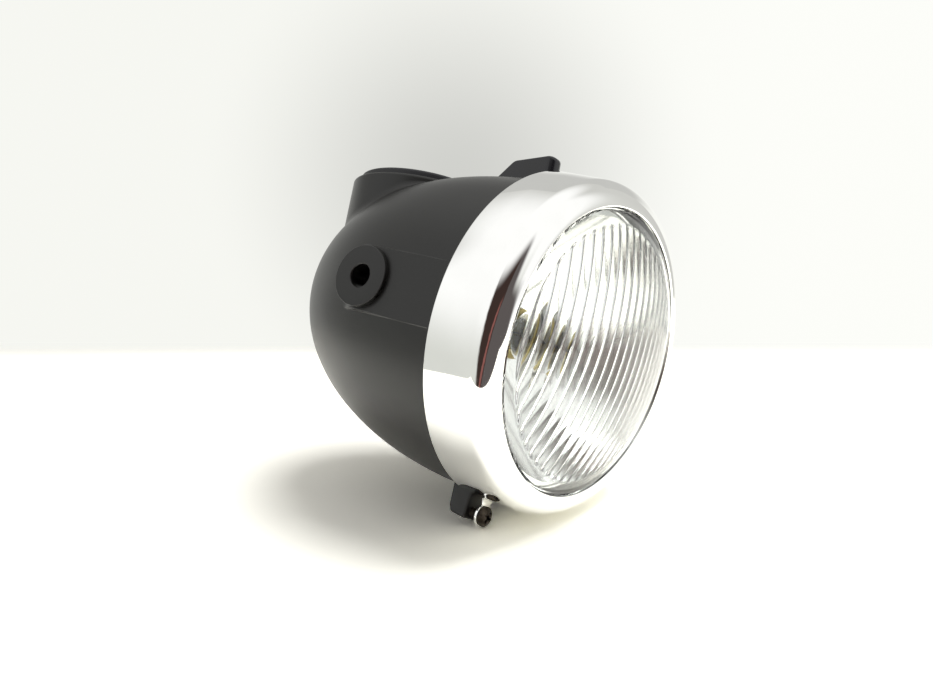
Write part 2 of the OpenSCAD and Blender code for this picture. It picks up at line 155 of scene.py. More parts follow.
def polishedMetal(name, dark, light, roughness, spread, scale, ripple):
    material, net, where = newMaterial(name)
    haze = noise(net, where, scale, 4.0)
    closeMaterial(net, net.add("ShaderNodeBsdfPrincipled", {}, {
        "Base Color": mixColor(net, steps(net, haze, 0.3, 0.7), dark, light),
        "Metallic": 1.0,
        "Roughness": roughness + (haze - 0.5) * spread,
        "Normal": bump(net, noise(net, where, scale * 0.4, 1.0), 0.2, ripple)}))
    return material


def clearGlass(name, tint, ior, ripple):
    material, net, where = newMaterial(name)
    closeMaterial(net, net.add("ShaderNodeBsdfPrincipled", {}, {
        "Base Color": tint,
        "Roughness": 0.0,
        "IOR": ior,
        "Transmission Weight": 1.0,
        "Normal": bump(net, noise(net, where, 160.0, 1.0), 0.15, ripple)}))
    return material


finishes = {
    "housing": mouldedPlastic("satinBlackPlastic", (0.006, 0.0058, 0.0052, 1), (0.0085, 0.0083, 0.0076, 1),
                              0.38, 0.1, 2600.0, 0.00002),
    "rubber": mouldedPlastic("blackRubber", (0.012, 0.012, 0.014, 1), (0.019, 0.019, 0.022, 1),
                             0.5, 0.15, 1900.0, 0.00003),
    "knob": mouldedPlastic("glossyBlackKnob", (0.009, 0.009, 0.0115, 1), (0.013, 0.013, 0.0165, 1),
                           0.2, 0.06, 2200.0, 0.000006),
    "switch": mouldedPlastic("blackThermoset", (0.011, 0.011, 0.011, 1), (0.02, 0.019, 0.018, 1),
                             0.35, 0.15, 1500.0, 0.00002),
    "fibre": mouldedPlastic("brownFibreBoard", (0.13, 0.06, 0.026, 1), (0.2, 0.1, 0.045, 1),
                            0.55, 0.2, 1300.0, 0.00004),
    "chrome": polishedMetal("polishedChrome", (0.955, 0.955, 0.94, 1), (0.985, 0.985, 0.97, 1),
                            0.045, 0.04, 60.0, 0.000004),
    "mirror": polishedMetal("vapourMirror", (0.93, 0.93, 0.92, 1), (0.97, 0.97, 0.96, 1),
                            0.13, 0.05, 45.0, 0.00001),
    "steel": polishedMetal("zincSteel", (0.5, 0.49, 0.46, 1), (0.66, 0.66, 0.66, 1),
                           0.32, 0.25, 240.0, 0.00002),
    "brass": polishedMetal("yellowBrass", (0.3, 0.24, 0.1, 1), (0.46, 0.38, 0.17, 1),
                           0.3, 0.2, 180.0, 0.00002),
    "filament": polishedMetal("tungsten", (0.2, 0.19, 0.18, 1), (0.34, 0.32, 0.3, 1),
                              0.4, 0.2, 900.0, 0.00001),
    "darkSteel": polishedMetal("brownedSteel", (0.035, 0.028, 0.022, 1), (0.09, 0.075, 0.062, 1),
                               0.42, 0.25, 420.0, 0.00005),
    "glass": clearGlass("flutedGlass", (0.985, 1.0, 0.99, 1), 1.5, 0.00001),
    "bulbGlass": clearGlass("bulbGlass", (0.99, 1.0, 1.0, 1), 1.5, 0.000004),
}
print("materials made:", len(finishes))


# Mesh helpers

def addObject(name, points, faces):
    mesh = bpy.data.meshes.new(name)
    mesh.from_pydata(points, [], faces)
    mesh.update()
    made = bpy.data.objects.new(name, mesh)
    scene.collection.objects.link(made)
    return made


def tidyMesh(made, distance=0.000002):  # merges doubles and turns faces outwards
    shape = bmesh.new()
    shape.from_mesh(made.data)
    bmesh.ops.remove_doubles(shape, verts=shape.verts, dist=distance)
    bmesh.ops.dissolve_degenerate(shape, edges=shape.edges, dist=distance / 2)
    bmesh.ops.recalc_face_normals(shape, faces=shape.faces)
    shape.to_mesh(made.data)
    shape.free()
    return made


def shadeSmooth(made, angle):
    made.data.polygons.foreach_set("use_smooth", [True] * len(made.data.polygons))
    made.data.set_sharp_from_angle(angle=math.radians(angle))
    return made


def bake(made):  # applies the modifiers to a plain mesh
    bpy.context.view_layer.update()
    seen = made.evaluated_get(bpy.context.evaluated_depsgraph_get())
    mesh = bpy.data.meshes.new_from_object(seen)
    made.modifiers.clear()
    made.data = mesh
    return made


def combine(made, other, operation):
    cutter = made.modifiers.new("cut", "BOOLEAN")
    cutter.operation = operation
    cutter.solver = "MANIFOLD"
    cutter.object = other
    bake(made)
    bpy.data.objects.remove(other)
    return made


def evenTurns(count):
    return [2 * math.pi * i / count for i in range(count)]


def lathe(name, profile, place, turns, shape=None):
    # profile is a closed loop of (radius, height), or a function of the angle that gives one
    points = []
    for angle in turns:
        ring = profile(angle) if callable(profile) else profile
        for radius, height in ring:
            spot = place @ Vector((radius * math.cos(angle), radius * math.sin(angle), height))
            points.append(shape(spot) if shape else spot)
    count = len(ring)
    faces = []
    for i in range(len(turns)):
        j = (i + 1) % len(turns)
        for k in range(count):
            m = (k + 1) % count
            faces.append((i * count + k, j * count + k, j * count + m, i * count + m))
    return tidyMesh(addObject(name, points, faces))


def arc(centre, radius, start, end, count):  # points on an arc, angles in degrees
    spots = []
    for i in range(count + 1):
        angle = math.radians(start + (end - start) * i / count)
        spots.append((centre[0] + radius * math.cos(angle), centre[1] + radius * math.sin(angle)))
    return spots


def prism(name, outline, low, high, place):
    count = len(outline)
    points = [place @ Vector((x, y, level)) for level in (low, high) for x, y in outline]
    faces = [tuple(range(count))[::-1], tuple(range(count, 2 * count))]
    faces += [(i, (i + 1) % count, (i + 1) % count + count, i + count) for i in range(count)]
    return tidyMesh(addObject(name, points, faces))


def soften(made, width, segments, angle=30.0):
    edge = made.modifiers.new("edge", "BEVEL")
    edge.width = width
    edge.segments = segments
    edge.limit_method = "ANGLE"
    edge.angle_limit = math.radians(angle)
    return bake(made)


def finishPiece(made, body, finish, nodes):
    made.data.materials.clear()
    made.data.materials.append(finishes[finish])
    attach(made, body)
    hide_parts(*nodes)
    print("piece", made.name, "with", len(made.data.polygons), "faces")


def newTree(name, inputs):  # a geometry tree whose inputs are named in a dictionary with their kinds
    tree = bpy.data.node_groups.new(name, "GeometryNodeTree")
    net = Net(tree)
    tree.interface.new_socket("Geometry", in_out="INPUT", socket_type="NodeSocketGeometry")
    for label, kind in inputs.items():
        tree.interface.new_socket(label, in_out="INPUT", socket_type="NodeSocket" + kind)
    tree.interface.new_socket("Material", in_out="INPUT", socket_type="NodeSocketMaterial")
    tree.interface.new_socket("Geometry", in_out="OUTPUT", socket_type="NodeSocketGeometry")
    net.add("NodeGroupInput")
    given = {socket.name: Wire(net, socket) for socket in net.last.outputs if socket.name}
    return tree, net, given


def closeTree(net, given, shape):
    solid = net.add("GeometryNodeRealizeInstances", {}, {0: shape})
    painted = net.add("GeometryNodeSetMaterial", {}, {"Geometry": solid, "Material": given["Material"]})
    net.add("NodeGroupOutput", {}, {"Geometry": painted})


def grow(made, tree, values):  # runs a geometry tree on a piece and keeps the plain mesh
    growth = made.modifiers.new(tree.name, "NODES")
    growth.node_group = tree
    for item in tree.interface.items_tree:
        if item.in_out == "INPUT" and item.name in values:
            growth[item.identifier] = values[item.name]
    return bake(made)


def turned(degrees, axis):
    return Matrix.Rotation(math.radians(degrees), 4, axis)


def moved(x, y, z):
    return Matrix.Translation(Vector((x, y, z)))


alongY = turned(-90, "X")
bothSides = [turned(90, "Y"), turned(-90, "Y")]


def disc(radius, low, high, place, turns):  # a plain cylinder to add to another piece or cut from it
    profile = [(0, low), (radius, low), (radius, high), (0, high)]
    return lathe("disc", profile, place, evenTurns(turns))


# Housing: egg, leaning collar, fork bosses, lands and screw lug in one moulding

housing = {
    "mouthRadius": 62.9 * mm,
    "depth": 104.7 * mm,
    "wall": 2.5 * mm,
    "lengthPower": 2.1,
    "roundPower": 2.06,
    "rimBack": -40.0 * mm,      # rear edge of the rim
    "spigot": 8.0 * mm,         # part of the mouth under the rim
    "play": 0.5 * mm,           # gap between the mouth and the rim
    "step": 0.02 * mm,          # length of the step from the mouth to the egg
    "landHalf": 12.5 * mm,
    "landSoft": 0.25 * mm,
    "landProud": 0.7 * mm,      # how far the land stands off the egg at the boss
    "landFade": 9.0 * mm,
    "crownDrop": 2.8 * mm,      # how far the flattened crown lies below a round egg
    "crownCentre": -14.0 * mm,  # height that the crown's curve is centred on
    "crownSoft": 1.2 * mm,
    "screwDown": -71.3 * mm,
    "screwHole": 2.02 * mm,
}
boss = {
    "radius": 11.7 * mm,
    "root": 54.0 * mm,
    "face": 62.0 * mm,
    "edge": 0.35 * mm,
    "bolt": 4.5 * mm,
    "chamfer": 0.3 * mm,
}
collar = {
    "back": 36.8 * mm,
    "up": 47.4 * mm,
    "lean": -9.0,
    "radius": 30.0 * mm,
    "edge": 1.3 * mm,
    "floor": 3.5 * mm,
    "blend": 4.0 * mm,          # fillet where the collar meets the egg
    "hole": 26.0 * mm,
    "root": -44.0 * mm,
    "clear": 0.4 * mm,
    "clearTall": 14.0 * mm,
}
lug = {
    "half": 5.0 * mm,
    "edge": 0.7 * mm,
    "root": -58.0 * mm,
    "front": 2.0 * mm,          # its outline, behind the rim and above the screw
    "frontDown": -3.0 * mm,
    "heel": 9.0 * mm,
    "heelDown": -2.2 * mm,
    "rear": 10.4 * mm,
    "rearUp": 0.2 * mm,
    "rootRear": 12.0 * mm,
}
seat = {                        # inner ring that the switch is screwed to
    "radius": 13.0 * mm,
    "low": -4.5 * mm,
    "tall": 3.0 * mm,
    "shaft": 3.6 * mm,
    "screw": 1.25 * mm,
    "screwAway": 10.2 * mm,
    "screwDeep": 2.2 * mm,
}
gland = {
    "back": 55 * mm,
    "bore": 3.5 * mm,
    "hole": 6 * mm,
    "flange": 9 * mm,
    "pad": 9.5 * mm,
    "padTop": mm,
    "padLow": -4 * mm,
    "flat": -3 * mm,            # inner face that the grommet's inner lip rests on
}


def eggRadius(y):
    t = (y - housing["rimBack"]) / housing["depth"]
    if t >= 1:
        return 0.0
    return housing["mouthRadius"] * (1 - max(t, 0.0) ** housing["lengthPower"]) ** (1 / housing["roundPower"])


def eggProfile(shrink, rows=88):
    back, step = housing["rimBack"], housing["step"]
    front = back - housing["spigot"] - shrink
    mouth = housing["mouthRadius"] - max(shrink, housing["play"])
    spots = [(0.0, front), (mouth, front)]
    if shrink:
        spots += [(mouth, back - shrink - step), (mouth, back - shrink)]
    spots.append((mouth, back - step))
    for i in range(rows + 1):
        angle = math.pi / 2 * i / rows
        radius = (housing["mouthRadius"] - shrink) * max(math.cos(angle), 0.0) ** (2 / housing["roundPower"])
        reach = (housing["depth"] - shrink) * math.sin(angle) ** (2 / housing["lengthPower"])
        spots.append((radius if i < rows else 0.0, back + reach))
    return spots


def ease(value, low, high):
    t = min(max((value - low) / (high - low), 0.0), 1.0)
    return t * t * (3 - 2 * t)


def softPart(value, soft):  # the part of a value above zero, with a rounded start
    return 0.0 if value < -soft else value if value > soft else (value + soft) ** 2 / (4 * soft)


def crowned(spot, shrink=0.0):  # lowers what stands above the flattened crown
    centre = housing["crownCentre"]
    if spot.z <= 0 or spot.y < housing["rimBack"] - shrink - housing["step"] / 2:
        return spot
    share = min(max((spot.y - housing["rimBack"]) / housing["depth"], 0.0), 1.0)
    curve = eggRadius(spot.y) - housing["crownDrop"] * (1 - share ** 2) - shrink - centre
    gap = spot.z - centre - math.sqrt(max(curve ** 2 - spot.x ** 2, 0.0))
    return Vector((spot.x, spot.y, spot.z - softPart(gap, housing["crownSoft"])))


def insideEgg(spot):
    radius = eggRadius(spot.y)
    if math.hypot(spot.x, spot.z) >= radius:
        return False
    return spot.z < crowned(Vector((spot.x, spot.y, math.sqrt(radius ** 2 - spot.x ** 2)))).z


def withLand(spot):  # presses the crown and the flat land between boss and rim into the egg
    if spot.y < housing["rimBack"] - housing["step"] / 2:
        return spot
    spot = crowned(spot)
    half, soft = housing["landHalf"], housing["landSoft"]
    rear = eggRadius(0.0) + housing["landProud"]
    flat = rear + (housing["mouthRadius"] - housing["play"] - rear) * spot.y / housing["rimBack"]
    share = (1 - ease(abs(spot.z), half - soft, half + soft)) * (1 - ease(spot.y, 0.0, housing["landFade"]))
    side = math.copysign(1.0, spot.x)
    return Vector((spot.x + (side * flat - spot.x) * share, spot.y, spot.z))


def housingTurns():  # angles round the lamp, closer together along the edges of the lands
    coarse = 1.5
    close = [coarse * i for i in range(6)] + [9.0, 9.7, 10.4, 13.1, 13.6, 14.2, 14.8]
    close += [10.9 + 0.09 * i for i in range(21)]
    close += [-angle for angle in close]
    turns = {round((quarter + angle) % 360, 4) for quarter in (0, 180) for angle in close}
    for i in range(240):
        near = min(abs((coarse * i - quarter + 180) % 360 - 180) for quarter in (0, 180))
        if near > 15.5:
            turns.add(coarse * i)
    return [math.radians(t) for t in sorted(turns)]


def makeCollar():
    reach, edge, root = collar["radius"], collar["edge"], collar["root"]
    walk = 0.1 * mm

    def eggLevel(radius, angle):  # height of the egg in the collar's frame, found by halving
        low, high = -50.0 * mm, 12.0 * mm
        for _ in range(26):
            middle = (low + high) / 2
            spot = collarPlace @ Vector((radius * math.cos(angle), radius * math.sin(angle), middle))
            if insideEgg(spot):
                low = middle
            else:
                high = middle
        return low

    def profile(angle):
        base = eggLevel(reach, angle)
        blend = max(min(collar["blend"], (-edge - 0.3 * mm - base) * 0.75), 0.0)
        if blend > 2 * walk:
            out, level, walked = reach, base, 0.0
            while walked < blend:
                nextLevel = eggLevel(out + walk, angle)
                walked += math.hypot(walk, level - nextLevel)
                out, level = out + walk, nextLevel
            start, knee = Vector((out, level - 0.03 * mm)), Vector((reach, base))
            end = Vector((reach, base + blend))
        else:
            start, knee, end = [Vector((reach, min(base, -edge) - depth * mm)) for depth in (2.0, 1.0, 0.5)]
        curve = []
        for i in range(13):
            t = i / 12
            curve.append(tuple(start * (1 - t) ** 2 + knee * 2 * t * (1 - t) + end * t * t))
        foot = [(0.0, root), (reach - mm, root), (reach - mm, base - 3 * mm)]
        sunk = [(curve[0][0] - 0.3 * mm, curve[0][1] - 2.5 * mm)]
        return foot + sunk + curve + arc((reach - edge, -edge), edge, 0, 90, 8) + [(0.0, 0.0)]

    return lathe("collar", profile, collarPlace, evenTurns(216))


def makeLug():
    back, level = housing["rimBack"], housing["screwDown"]
    outline = [(back + lug["front"], lug["root"]), (back + lug["front"], level + lug["frontDown"]),
               (back + lug["heel"], level + lug["heelDown"]), (back + lug["rear"], level + lug["rearUp"]),
               (back + lug["rootRear"], lug["root"])]
    made = prism("lug", outline, -lug["half"], lug["half"], turned(90, "Z") @ turned(90, "X"))
    return soften(made, lug["edge"], 4)


def makeHollow():  # the room inside, which leaves the bosses and the switch's seat standing
    wall = housing["wall"]
    inner = lathe("inner", eggProfile(wall, 60), alongY, evenTurns(160), lambda spot: crowned(spot, wall))
    well = collar["radius"] - wall - 0.2 * mm
    combine(inner, disc(well, collar["root"], -collar["floor"], collarPlace, 144), "UNION")
    for place in bothSides:
        combine(inner, disc(boss["radius"], boss["root"], boss["face"], place, 96), "DIFFERENCE")
    low = seat["low"]
    return combine(inner, disc(seat["radius"], low, low + seat["tall"], switchPlace, 96), "DIFFERENCE")


def makeHousing():
    outer = lathe("housingBody", eggProfile(0.0), alongY, housingTurns(), withLand)
    combine(outer, makeCollar(), "UNION")
    clear = collar["radius"] + collar["clear"]
    combine(outer, disc(clear, 0, collar["clearTall"], collarPlace, 192), "DIFFERENCE")
    combine(outer, makeLug(), "UNION")
    combine(outer, disc(gland["pad"], gland["padLow"], gland["padTop"], glandPlace, 64), "UNION")

    face, lip = boss["face"], boss["edge"]
    profile = [(0.0, boss["root"]), (boss["radius"], boss["root"])]
    profile += arc((boss["radius"] - lip, face - lip), lip, 0, 90, 5) + [(0.0, face)]
    for place in bothSides:
        combine(outer, lathe("boss", profile, place, evenTurns(128)), "UNION")
    combine(outer, makeHollow(), "DIFFERENCE")

    bolt, wide = boss["bolt"], boss["bolt"] + boss["chamfer"]
    profile = [(0.0, boss["root"] - mm), (bolt, boss["root"] - mm), (bolt, face - boss["chamfer"])]
    profile += [(wide, face + 0.01 * mm), (wide, face + mm), (0.0, face + mm)]
    for place in bothSides:
        combine(outer, lathe("bolt", profile, place, evenTurns(96)), "DIFFERENCE")

    low, back = seat["low"], housing["rimBack"]
    screwHole = (seat["screw"], low - mm, low + seat["screwDeep"])
    for cutter in (
        disc(collar["hole"], -collar["floor"] - mm, 2 * mm, collarPlace, 160),
        disc(seat["shaft"], low - mm, 3.5 * mm, switchPlace, 64),
        disc(*screwHole, switchPlace @ moved(seat["screwAway"], 0, 0), 32),
        disc(*screwHole, switchPlace @ moved(-seat["screwAway"], 0, 0), 32),
        disc(gland["hole"], gland["flat"] - 2 * mm, 3 * mm, glandPlace, 64),
        disc(gland["flange"], gland["flat"] - 4 * mm, gland["flat"], glandPlace, 64),
        disc(housing["screwHole"], back - mm, back + 8 * mm, moved(0, 0, housing["screwDown"]) @ alongY, 32),
    ):
        combine(outer, cutter, "DIFFERENCE")
    return shadeSmooth(outer, 28)


collarPlace = moved(0, collar["back"], collar["up"]) @ turned(collar["lean"], "X")
axis = Vector(joint["axis"]).normalized()
switchPlace = moved(*joint["pos_m"]) @ Matrix.Rotation(-math.atan2(axis.y, axis.z), 4, "X")
slope = (eggRadius(gland["back"] - mm) - eggRadius(gland["back"] + mm)) / (2 * mm)
glandPlace = moved(0, gland["back"], -eggRadius(gland["back"]))
glandPlace = glandPlace @ Matrix.Rotation(math.pi + math.atan(slope), 4, "X")

finishPiece(makeHousing(), "lamp", "housing", ["housing_shell"])


# Rubber seal of the speedometer hole and the grommet of the wires

seal = {
    "bore": 24 * mm,
    "groove": 26 * mm,
    "bead": 26.8 * mm,
    "beadTall": 1.5 * mm,
    "lip": 27.2 * mm,
    "rise": 3 * mm,
    "edge": 1.2 * mm,
    "innerEdge": 0.5 * mm,
}


def makeSeal():
    floor, edge, inner = -collar["floor"], seal["edge"], seal["innerEdge"]
    low = floor - seal["beadTall"]
    profile = [(seal["bore"], low), (seal["bead"], low), (seal["bead"], floor),
               (seal["groove"], floor), (seal["groove"], 0.0), (seal["lip"], 0.0)]
    profile += arc((seal["lip"] - edge, seal["rise"] - edge), edge, 0, 90, 8)
    profile += arc((seal["bore"] + inner, seal["rise"] - inner), inner, 90, 180, 4)
    return shadeSmooth(lathe("collarSeal", profile, collarPlace, evenTurns(192)), 35)


finishPiece(makeSeal(), "lamp", "rubber", ["speedometer_seal"])


grommet = {
    "inner": 8.2 * mm,
    "lip": 1.6 * mm,
    "low": -5 * mm,
    "flangeTop": 2.5 * mm,
    "neck": 7.5 * mm,
    "top": 3.5 * mm,
}


def makeGrommet():
    bore, hole, low, inner = gland["bore"], gland["hole"], grommet["low"], grommet["inner"]
    step, flange, neck = gland["flat"] - grommet["lip"], gland["flange"], grommet["neck"]
    big, small, chamfer = 0.6 * mm, 0.5 * mm, 0.3 * mm
    profile = [(bore, low), (hole, low), (hole, step), (inner, step), (inner, gland["flat"])]
    profile += [(hole, gland["flat"]), (hole, gland["padTop"]), (flange, gland["padTop"])]
    profile += arc((flange - big, grommet["flangeTop"] - big), big, 0, 90, 4) + [(neck, grommet["flangeTop"])]
    profile += arc((neck - small, grommet["top"] - small), small, 0, 90, 4)
    profile += [(bore + chamfer, grommet["top"]), (bore, grommet["top"] - chamfer)]
    return shadeSmooth(lathe("wireGrommet", profile, glandPlace, evenTurns(96)), 35)


finishPiece(makeGrommet(), "lamp", "rubber", ["cable_grommet"])


# Chrome rim: pressed ring with a rounded shoulder, a screw tab and a hook

rim = {
    "radius": 65.0 * mm,
    "band": 20.0 * mm,
    "taper": 0.2 * mm,
    "shoulder": 8.4 * mm,
    "sheet": 0.8 * mm,
    "opening": 55.3 * mm,
    "fold": 0.7 * mm,
    "lip": 2.2 * mm,            # depth of the turned-in edge round the glass
    "hem": 63.0 * mm,
    "hemEdge": 0.5 * mm,
}
tab = {
    "root": -64.5 * mm,         # outline of the screw tab, downwards from the rim
    "rootHalf": 3.2 * mm,
    "waist": -67.0 * mm,
    "waistHalf": 2.2 * mm,
    "shoulder": -68.0 * mm,
    "shoulderHalf": 2.9 * mm,
    "eye": 4.6 * mm,
    "hole": 2.05 * mm,
    "back": 42.3 * mm,
    "front": 43.3 * mm,
    "edge": 0.15 * mm,
}
hook = {"half": 4.0 * mm, "low": 60.4 * mm, "high": 64.4 * mm, "back": 46.7 * mm, "front": 47.5 * mm}


def makeTab():
    facing = turned(90, "X")
    root, waist, shoulder = [(tab[part + "Half"], tab[part]) for part in ("root", "waist", "shoulder")]
    outline = [(-root[0], root[1]), root, waist, shoulder]
    outline += arc((0, housing["screwDown"]), tab["eye"], 50, -230, 30)
    outline += [(-shoulder[0], shoulder[1]), (-waist[0], waist[1])]
    made = prism("tab", outline, tab["back"], tab["front"], facing)
    place = moved(0, 0, housing["screwDown"]) @ facing
    combine(made, disc(tab["hole"], tab["back"] - 1.3 * mm, tab["front"] + 1.7 * mm, place, 48), "DIFFERENCE")
    return soften(made, tab["edge"], 2)


def makeRim():
    back, sheet, big = housing["rimBack"], rim["sheet"], rim["shoulder"]
    front = back - rim["band"]
    hub = rim["radius"] - rim["taper"] - big
    edge, fold = rim["hemEdge"], rim["fold"]
    lip = front - big + rim["lip"]
    profile = [(rim["hem"], back - sheet), (rim["hem"], back)]
    profile += arc((rim["radius"] - edge, back - edge), edge, 90, 0, 5)
    profile += [(rim["radius"] - rim["taper"] / 2, (back + front) / 2)]
    profile += arc((hub, front), big, 0, -90, 26)
    profile += arc((rim["opening"] + fold, front - big + fold), fold, -95, -180, 8)
    profile += [(rim["opening"], lip), (rim["opening"] + sheet, lip)]
    profile += arc((hub, front), big - sheet, -90, 0, 18)
    profile += [(rim["radius"] - sheet, back - sheet)]
    ring = lathe("rimBand", profile, alongY, evenTurns(320))
    combine(ring, makeTab(), "UNION")
    half, low, high = hook["half"], hook["low"], hook["high"]
    outline = [(-half, low), (half, low), (half, high), (-half, high)]
    combine(ring, prism("hook", outline, hook["back"], hook["front"], turned(90, "X")), "UNION")
    return shadeSmooth(ring, 30)


finishPiece(makeRim(), "lamp", "chrome", ["chrome_rim"])


# Fluted glass: the ribs follow a rule, so a geometry tree raises them from the inside of the dome

glass = {
    "opening": 54.4 * mm,
    "rise": 12.0 * mm,
    "chord": 54.0 * mm,
    "thickness": 3.0 * mm,
    "flange": 58.5 * mm,
    "flangeFront": -66.2 * mm,
    "lip": -68.4 * mm,
    "edge": 0.4 * mm,
    "backEdge": 0.3 * mm,
    "Pitch": 5.0 * mm,
    "Flutes": 19,
    "Height": 1.0 * mm,
    "Field": 48.5 * mm,
    "Fade": 1.6 * mm,           # where the flutes run out at the edge of their round field
}


def makeGlass():
    domeRadius = (glass["chord"] ** 2 + glass["rise"] ** 2) / (2 * glass["rise"])
    centre = glass["lip"] - glass["rise"] + domeRadius
    reach, pitch, flutes = glass["opening"], glass["Pitch"], glass["Flutes"]
    perFlute, atSides, rows = 10, 14, 96
    columns = [pitch * (i / perFlute - flutes / 2) for i in range(flutes * perFlute + 1)]
    last = math.acos(flutes * pitch / 2 / reach)
    edges = [reach * math.cos(last * (1 - i / atSides)) for i in range(1, atSides + 1)]
    columns = [-x for x in reversed(edges)] + columns + edges
    crowd = math.pi / 2 * 0.999     # rows crowd towards the edge, short of meeting it head on
    points, faces, inside = [], [], []

    def level(x, z, radius):
        return centre - math.sqrt(radius ** 2 - x * x - z * z)

    def patch(radius, flag):
        first = len(points)
        for x in columns:
            tall = math.sqrt(max(reach ** 2 - x * x, 0.0))
            for j in range(rows + 1):
                z = tall * math.sin((2 * j / rows - 1) * crowd) / math.sin(crowd)
                points.append((x, level(x, z, radius), z))
                inside.append(flag)
        for i in range(len(columns) - 1):
            for j in range(rows):
                a = first + i * (rows + 1) + j
                faces.append((a, a + 1, a + rows + 2, a + rows + 1))
        count = len(columns)
        top = [first + i * (rows + 1) + rows for i in range(count)]
        low = [first + i * (rows + 1) for i in range(count)]
        return top + low[-2:0:-1]

    def ring(radius, y):
        first = len(points)
        for spot in loopSpots:
            length = math.hypot(spot[0], spot[2])
            points.append((spot[0] * radius / length, y, spot[2] * radius / length))
            inside.append(0.0)
        return list(range(first, first + len(loopSpots)))

    def bridge(a, b):
        for i in range(len(a)):
            j = (i + 1) % len(a)
            faces.append((a[i], a[j], b[j], b[i]))

    frontLoop = patch(domeRadius, 0.0)
    loopSpots = [points[i] for i in frontLoop]
    backLoop = patch(domeRadius - glass["thickness"], 1.0)
    front, flange, edge = glass["flangeFront"], glass["flange"], glass["edge"]
    back, backEdge = front + glass["thickness"], glass["backEdge"]
    loops = [frontLoop, ring(reach, front - edge), ring(reach + edge, front), ring(flange - edge, front),
             ring(flange, front + edge), ring(flange, back - backEdge), ring(flange - backEdge, back),
             ring(reach + 2 * backEdge, back), backLoop]
    for a, b in zip(loops, loops[1:]):
        bridge(a, b)
    made = addObject("flutedGlass", points, faces)
    mark = made.data.attributes.new("inside", "FLOAT", "POINT")
    mark.data.foreach_set("value", inside)
    tidyMesh(made)

    labels = ("Pitch", "Height", "Field", "Fade")
    tree, net, given = newTree("raiseFlutes", {label: "Float" for label in labels})
    place = net.add("GeometryNodeInputPosition")
    x = net.add("ShaderNodeSeparateXYZ", {}, {0: place}, out="X")
    z = Wire(net, net.last.outputs["Z"])
    cell = net.maths("FRACT", x / given["Pitch"] + 0.5) - 0.5
    arch = 1 - (cell * 2) ** 2
    outward = net.maths("SQRT", x * x + z * z)
    field = steps(net, outward, given["Field"] - given["Fade"], given["Field"], 1.0, 0.0)
    mark = net.add("GeometryNodeInputNamedAttribute", {"data_type": "FLOAT"}, {"Name": "inside"})
    lift = arch * field * mark * given["Height"]
    inward = net.add("ShaderNodeVectorMath", {"operation": "SUBTRACT"}, {0: (0.0, centre, 0.0), 1: place})
    inward = net.add("ShaderNodeVectorMath", {"operation": "NORMALIZE"}, {0: inward})
    offset = net.add("ShaderNodeVectorMath", {"operation": "SCALE"}, {0: inward, "Scale": lift})
    fluted = net.add("GeometryNodeSetPosition", {}, {"Geometry": given["Geometry"], "Offset": offset})
    closeTree(net, given, fluted)
    grow(made, tree, dict({label: glass[label] for label in labels}, Material=finishes["glass"]))
    return shadeSmooth(made, 40)


finishPiece(makeGlass(), "lamp", "glass", ["lens"])


# Reflector bowl

bowl = {
    "focal": 17.0 * mm,
    "radius": 51.0 * mm,
    "flange": 58.5 * mm,
    "front": -61.6 * mm,
    "sheet": 0.8 * mm,
    "neck": 11.6 * mm,
    "neckEdge": 0.3 * mm,
    "neckEnd": -19.35 * mm,
    "backShift": 0.35 * mm,     # keeps the sheet about even in thickness on the slope
}


def makeBowl():
    sheet, front, neck, edge = bowl["sheet"], bowl["front"], bowl["neck"], bowl["neckEdge"]
    vertex = front + bowl["radius"] ** 2 / (4 * bowl["focal"])

    def depth(radius):
        return vertex - radius ** 2 / (4 * bowl["focal"])

    rows = 48
    radii = [neck + edge + (bowl["radius"] - neck - edge) * i / rows for i in range(rows + 1)]
    back = [(r + bowl["backShift"], depth(r) + sheet) for r in radii]
    profile = [(neck, bowl["neckEnd"]), (neck, depth(neck) + edge)] + [(r, depth(r)) for r in radii]
    profile += [(bowl["flange"], front), (bowl["flange"], front + sheet)]
    profile += [spot for spot in reversed(back) if spot[1] > front + sheet]
    profile += [(neck + sheet, bowl["neckEnd"])]
    return shadeSmooth(lathe("mirrorBowl", profile, alongY, evenTurns(224)), 35)


finishPiece(makeBowl(), "lamp", "mirror", ["reflector"])


# Clips that press the reflector into the rim: one bent strip repeated round the lamp by a geometry tree

clips = {"Count": 4, "Start": math.radians(45), "half": 3.5 * mm, "reach": 64.0 * mm, "edge": 0.12 * mm}


def makeClips():
    back, reach = bowl["front"] + bowl["sheet"], clips["reach"] / mm
    foot = [(55.5, 0.7), (55.5, 0), (57.1, 0), (57.5, 0.3), (59.6, 5)]    # the bent strip's outline in mm
    top = [(reach - 2.3, 9), (reach - 1.9, 9), (reach - 0.4, 5), (reach, 5), (reach, 6)]
    rear = [(reach - 1.6, 10.2), (reach - 2.6, 10), (58.8, 5.2), (57, 0.7)]
    outline = [(x * mm, back + y * mm) for x, y in foot + top + rear]
    made = prism("reflectorClips", outline, -clips["half"], clips["half"], Matrix.Identity(4))
    soften(made, clips["edge"], 2)
    tree, net, given = newTree("clipRing", {"Count": "Int", "Start": "Float"})
    spots = net.add("GeometryNodePoints", {}, {"Count": given["Count"]})
    angle = net.add("GeometryNodeInputIndex") * (2 * math.pi / given["Count"]) + given["Start"]
    turn = net.add("ShaderNodeCombineXYZ", {}, {"Y": angle})
    closeTree(net, given, net.add("GeometryNodeInstanceOnPoints", {}, {
        "Points": spots, "Instance": given["Geometry"], "Rotation": turn}))
    grow(made, tree, {"Count": clips["Count"], "Start": clips["Start"], "Material": finishes["steel"]})
    return shadeSmooth(made, 35)


finishPiece(makeClips(), "lamp", "steel", ["reflector_clip_%d" % n for n in (1, 2, 3, 4)])


